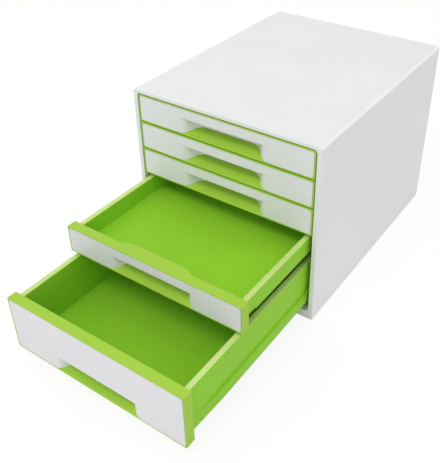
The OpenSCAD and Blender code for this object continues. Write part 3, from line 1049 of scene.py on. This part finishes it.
class CABINET_OT_trays(bpy.types.Operator):
    """Makes the five trays with their hollow rims"""

    bl_idname = "cabinet.trays"
    bl_label = "Make the trays"

    def execute(self, context):
        sizes = context.scene.cabinet_drawers
        green, painted_sheen = tray_green(sizes), rim_green_painted_sheen(sizes)
        half_w = FRONT_HALF_W - TRAY_INSET
        for drawer in DRAWERS:
            front_low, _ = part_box(f"front_frame_{drawer}")
            _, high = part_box(f"tray_{drawer}")
            place = np.array([0, front_low[1], front_low[2]])
            length, rim = high[1] - front_low[1], high[2] - front_low[2]
            deep = drawer == DEEP_DRAWER
            rings = tray_rings(sizes, half_w, length, rim, deep)
            shells = [shell(rings), *lugs(sizes, half_w, high[0], length)]
            if deep:
                shells.append(floor_ridge(sizes, half_w))
            shells = [(points + place, faces) for points, faces in shells]
            # the rims' tops take the paler green, a painted sheen over the shader's own gloss
            rim_faces = slice(len(rings[0]) * RIM_STRIPS[0], len(rings[0]) * RIM_STRIPS[1])
            made = piece(f"tray_box_{drawer}", shells, green, f"drawer_{drawer}",
                         f"tray_{drawer}", second=(painted_sheen, rim_faces))
            flatten_normals(made)
        return {"FINISHED"}


def lugs(sizes, half_w, reach, length):
    """The two lugs at the back of a tray's sides, which reach further out than the sides do."""
    bottom = sizes.skirt_height + LUG_RISE
    top = bottom + LUG_HEIGHT
    made = []
    for side in (-1, 1):
        x = sorted((side * (half_w - sizes.tray_wall / 2), side * reach))
        made.append(slab((x[0], length - LUG_LENGTH, bottom), (x[1], length, top), *LUG_RADII))
    return made


def floor_ridge(sizes, half_w):
    """The fine ridge across the deep tray's floor."""
    x = half_w - sizes.rim_width - RIDGE_GAP
    return slab((-x, RIDGE_Y, sizes.floor_height - sizes.tray_wall / 2),
                (x, RIDGE_Y + RIDGE_WIDTH, sizes.floor_height + RIDGE_HEIGHT), *RIDGE_RADII)


def tray_rings(sizes, half_w, length, rim, deep):
    """Rings of a tray, from its floor up the inside, over the rim, down the outside, up into the hollow
    rim and down again to the floor's underside.

    In front, a shallow tray is cut out around the shell of the handle pocket, so that there all rings
    down to the floor lie on the cut's edge.
    """
    front, wall, floor = sizes.front_depth, sizes.tray_wall, sizes.floor_height
    inside_w, inside_back = half_w - sizes.rim_width, length - sizes.rim_width
    stations = [front + wall, front + NOTCH_LENGTH, front + BAND_TAPER]
    across = np.linspace(0, SHELL_HALF_W, CUT_SAMPLES)
    cut_x = float(across[np.argmax(bulge_depth(sizes, across) + sizes.plate_gap < front + wall)])

    def place(ring, height, collapse):
        """Lays a ring down. In the cut, it goes to the cut's edge at the collapse height instead."""
        points, names = ring
        made = level(points, height)
        if not deep:
            edge = bulge_depth(sizes, points[:, 0]) + sizes.plate_gap
            beside, cut = names == "beside the cut", names == "cut"
            made[beside, 1] = np.maximum(made[beside, 1], edge[beside])
            made[cut, 1] = edge[cut]
            made[cut, 2] = collapse
        return made

    def inside(grow):
        """The outline of a tray's inside, moved outwards."""
        radius = max(INSIDE_FRONT_RADIUS + grow, INSIDE_LEAST_RADIUS)
        return plan_ring(inside_w + grow, front + wall - grow, inside_back + grow, radius,
                         sizes.tray_corner_radius + grow, stations, cut_x, inside_w)

    def outside(inset, out=0.0):
        """The outline of a tray, moved inwards by the inset, and then its sides set out.

        The sides are set out by nothing in front, and by the full distance from a taper's length on.
        """
        radii = [max(radius - inset, OUTSIDE_LEAST_RADIUS) for radius in OUTSIDE_RADII]
        points, names = plan_ring(half_w - inset, front + inset, length - inset, *radii, stations, cut_x,
                                  inside_w + wall)
        share = np.clip((points[:, 1] - front) / BAND_TAPER, 0, 1)
        share *= np.clip((np.abs(points[:, 0]) - half_w + BAND_OUT) / BAND_OUT, 0, 1)
        points[:, 0] += np.sign(points[:, 0]) * out * share
        return points, names

    rings = [place(inside(-inset), floor + up, floor) for inset, up in reversed(quarter(FLOOR_FILLET))]
    rings += [place(inside(inset), rim - down, floor) for inset, down in quarter(RIM_INNER_EDGE)]
    rings += [place(outside(inset), rim - down, floor) for inset, down in reversed(quarter(RIM_OUTER_EDGE))]

    # the outside ends at the skirt, which is higher in the notch and at the back
    points, names = outside(0)
    skirt = np.full(len(points), sizes.skirt_height)
    if not deep:
        in_notch = (points[:, 1] < front + NOTCH_LENGTH + TINY) & (names != "side 2")
        skirt[in_notch] += NOTCH_HEIGHT
    skirt[names == "back"] = rim - REAR_SKIRT
    if deep:
        band_top = sizes.skirt_height + BAND_HEIGHT
        rings.append(place(outside(0), band_top + GROOVE_HEIGHT, floor))
        rings.append(place(outside(0, -GROOVE_DEPTH), band_top + BAND_EDGE, floor))
        rings.append(place(outside(0, BAND_OUT), band_top, floor))
    rings.append(place(outside(0, BAND_OUT if deep else 0), skirt, floor - wall))

    # the hollow under the rim begins behind the front wall
    solid = np.isin(names, ("front", "beside the cut", "cut", "front corner", "side 0"))
    hollow_top = np.where(solid, skirt, rim - RIM_THICKNESS)
    outer_hollow = plan_ring(half_w - wall, front, length - wall, *HOLLOW_RADII, stations, cut_x,
                             inside_w + wall)
    inner_hollow = plan_ring(inside_w + wall, front, inside_back + wall, HOLLOW_RADII[0],
                             sizes.tray_corner_radius + wall, stations, cut_x, inside_w + wall)
    rings.append(place(outer_hollow, skirt, floor - wall))
    rings.append(place(outer_hollow, hollow_top, floor - wall))
    rings.append(place(inner_hollow, hollow_top, floor - wall))
    rings.append(place(inner_hollow, floor - wall, floor - wall))
    return rings


# ---- Stage ----

# Each lamp's name, place, point that it is turned to, width and height, and power in watts
LAMPS = (
    ("lamp_behind", (-1.5, 1.36, 2.05), (0, -0.3, 0.1), (1.6, 1.0), 2.6),
    ("lamp_front", (0.1, -1.5, 2.4), (0, -0.2, 0.1), (1.2, 0.8), 16),
)
FLOOR_HALF_W = 6.0
FLOOR_ROUGHNESS = 0.9
# Strength of the floor's own white, and its share in what the camera and reflections see
FLOOR_GLOW = 1.04
FLOOR_GLOW_SHARE = 0.85
# Width of the camera's sensor in millimetres, and the nearest and farthest that it sees in metres
SENSOR_WIDTH = 36
CLIP_NEAR = 0.05
CLIP_FAR = 50


class CABINET_OT_stage(bpy.types.Operator):
    """Sets the floor, the lamps, the surround and the camera"""

    bl_idname = "cabinet.stage"
    bl_label = "Set the stage"

    def execute(self, context):
        sizes = context.scene.cabinet_stage
        self.floor(sizes)
        self.surround(context, sizes)
        for lamp in LAMPS:
            self.lamp(*lamp)
        self.camera(context, sizes)
        context.scene.view_settings.view_transform = "Standard"
        return {"FINISHED"}

    @staticmethod
    def seen(tree):
        """1 for what the camera sees, also reflected or through glass, and 0 for light on the object."""
        path = tree.nodes.new("ShaderNodeLightPath")
        total = path.outputs["Is Camera Ray"]
        for name in ("Is Glossy Ray", "Is Transmission Ray"):
            add = tree.nodes.new("ShaderNodeMath")
            add.operation = "MAXIMUM"
            tree.links.new(total, add.inputs[0])
            tree.links.new(path.outputs[name], add.inputs[1])
            total = add.outputs["Value"]
        return total

    def floor(self, sizes):
        """A wide plain floor, whose white keeps the object's shadow faintly."""
        half = FLOOR_HALF_W
        corners = [(-half, -half, 0), (half, -half, 0), (half, half, 0), (-half, half, 0)]
        mesh = bpy.data.meshes.new("floor")
        mesh.from_pydata(corners, [], [[0, 1, 2, 3]])
        floor = bpy.data.objects.new("floor", mesh)
        bpy.context.scene.collection.objects.link(floor)
        mesh.materials.append(self.floor_white(sizes))

    def floor_white(self, sizes):
        """Plain white that takes the shadow, mixed with a glow for what the camera and reflections see."""
        material = bpy.data.materials.new("floor_white")
        material.use_nodes = True
        tree = material.node_tree
        shader = tree.nodes["Principled BSDF"]
        shader.inputs["Base Color"].default_value = (*sizes.floor_colour, 1)
        shader.inputs["Roughness"].default_value = FLOOR_ROUGHNESS
        glow = tree.nodes.new("ShaderNodeEmission")
        glow.inputs["Strength"].default_value = FLOOR_GLOW
        mix = tree.nodes.new("ShaderNodeMixShader")
        share = tree.nodes.new("ShaderNodeMath")
        share.operation = "MULTIPLY"
        share.inputs[1].default_value = FLOOR_GLOW_SHARE
        tree.links.new(self.seen(tree), share.inputs[0])
        tree.links.new(share.outputs["Value"], mix.inputs["Fac"])
        tree.links.new(shader.outputs["BSDF"], mix.inputs[1])
        tree.links.new(glow.outputs["Emission"], mix.inputs[2])
        tree.links.new(mix.outputs["Shader"], tree.nodes["Material Output"].inputs["Surface"])
        return material

    def surround(self, context, sizes):
        """Even light all round, which the camera and reflections see as white."""
        world = bpy.data.worlds.new("surround")
        world.use_nodes = True
        context.scene.world = world
        tree = world.node_tree
        background = tree.nodes["Background"]
        background.inputs["Color"].default_value = (1, 1, 1, 1)
        strength = tree.nodes.new("ShaderNodeMapRange")
        strength.inputs["To Min"].default_value = sizes.surround
        strength.inputs["To Max"].default_value = 1
        tree.links.new(self.seen(tree), strength.inputs["Value"])
        tree.links.new(strength.outputs["Result"], background.inputs["Strength"])

    @staticmethod
    def lamp(name, place, aim, sides, power):
        """A wide soft lamp at a place, turned towards a point."""
        data = bpy.data.lights.new(name, "AREA")
        data.shape = "RECTANGLE"
        data.size, data.size_y = sides
        data.energy = power
        lamp = bpy.data.objects.new(name, data)
        lamp.location = place
        lamp.rotation_euler = (Vector(aim) - Vector(place)).to_track_quat("-Z", "Y").to_euler()
        bpy.context.scene.collection.objects.link(lamp)

    @staticmethod
    def camera(context, sizes):
        """Looks along the azimuth and elevation, turned by the roll about its own axis."""
        a, e, r = sizes.azimuth, sizes.elevation, sizes.roll
        back = Vector((math.sin(a) * math.cos(e), -math.cos(a) * math.cos(e), math.sin(e)))
        right = (-back).cross(Vector((0, 0, 1))).normalized()
        down = (-back).cross(right)
        across = math.cos(r) * right + math.sin(r) * down
        up = back.cross(across)
        data = bpy.data.cameras.new("camera")
        data.lens = sizes.focal_length
        data.sensor_width = SENSOR_WIDTH
        data.shift_x, data.shift_y = sizes.lens_shift
        data.clip_start, data.clip_end = CLIP_NEAR, CLIP_FAR
        camera = bpy.data.objects.new("camera", data)
        turn = Matrix((across, up, back)).transposed()
        camera.rotation_euler = turn.to_euler()
        camera.location = sizes.camera_place
        context.scene.collection.objects.link(camera)
        context.scene.camera = camera


# ---- Add-on ----

OPERATORS = (
    CABINET_OT_casing, CABINET_OT_rear_panel, CABINET_OT_runners, CABINET_OT_feet,
    CABINET_OT_front_frames, CABINET_OT_front_plates, CABINET_OT_trays, CABINET_OT_stage,
)


class CABINET_PT_panel(bpy.types.Panel):
    """Lists the steps that build the cabinet"""

    bl_idname = "CABINET_PT_panel"
    bl_label = "Drawer cabinet"
    bl_space_type = "VIEW_3D"
    bl_region_type = "UI"
    bl_category = "Cabinet"

    def draw(self, context):
        for operator in OPERATORS:
            self.layout.operator(operator.bl_idname)
        for group in ("cabinet_casing", "cabinet_drawers", "cabinet_stage"):
            settings = getattr(context.scene, group)
            box = self.layout.box()
            for name in settings.__annotations__:
                box.prop(settings, name)


CLASSES = (CasingSizes, DrawerSizes, StageSizes, *OPERATORS, CABINET_PT_panel)


def register():
    """Makes the classes and the scene's settings known."""
    for cls in CLASSES:
        bpy.utils.register_class(cls)
    bpy.types.Scene.cabinet_casing = PointerProperty(type=CasingSizes)
    bpy.types.Scene.cabinet_drawers = PointerProperty(type=DrawerSizes)
    bpy.types.Scene.cabinet_stage = PointerProperty(type=StageSizes)


def unregister():
    """Takes the scene's settings and the classes away again."""
    del bpy.types.Scene.cabinet_casing
    del bpy.types.Scene.cabinet_drawers
    del bpy.types.Scene.cabinet_stage
    for cls in reversed(CLASSES):
        bpy.utils.unregister_class(cls)


def main():
    """Builds the cabinet and its stage."""
    register()
    bpy.ops.cabinet.casing()
    bpy.ops.cabinet.rear_panel()
    bpy.ops.cabinet.runners()
    bpy.ops.cabinet.feet()
    bpy.ops.cabinet.front_frames()
    bpy.ops.cabinet.front_plates()
    bpy.ops.cabinet.trays()
    bpy.ops.cabinet.stage()


if __name__ == "__main__":
    main()
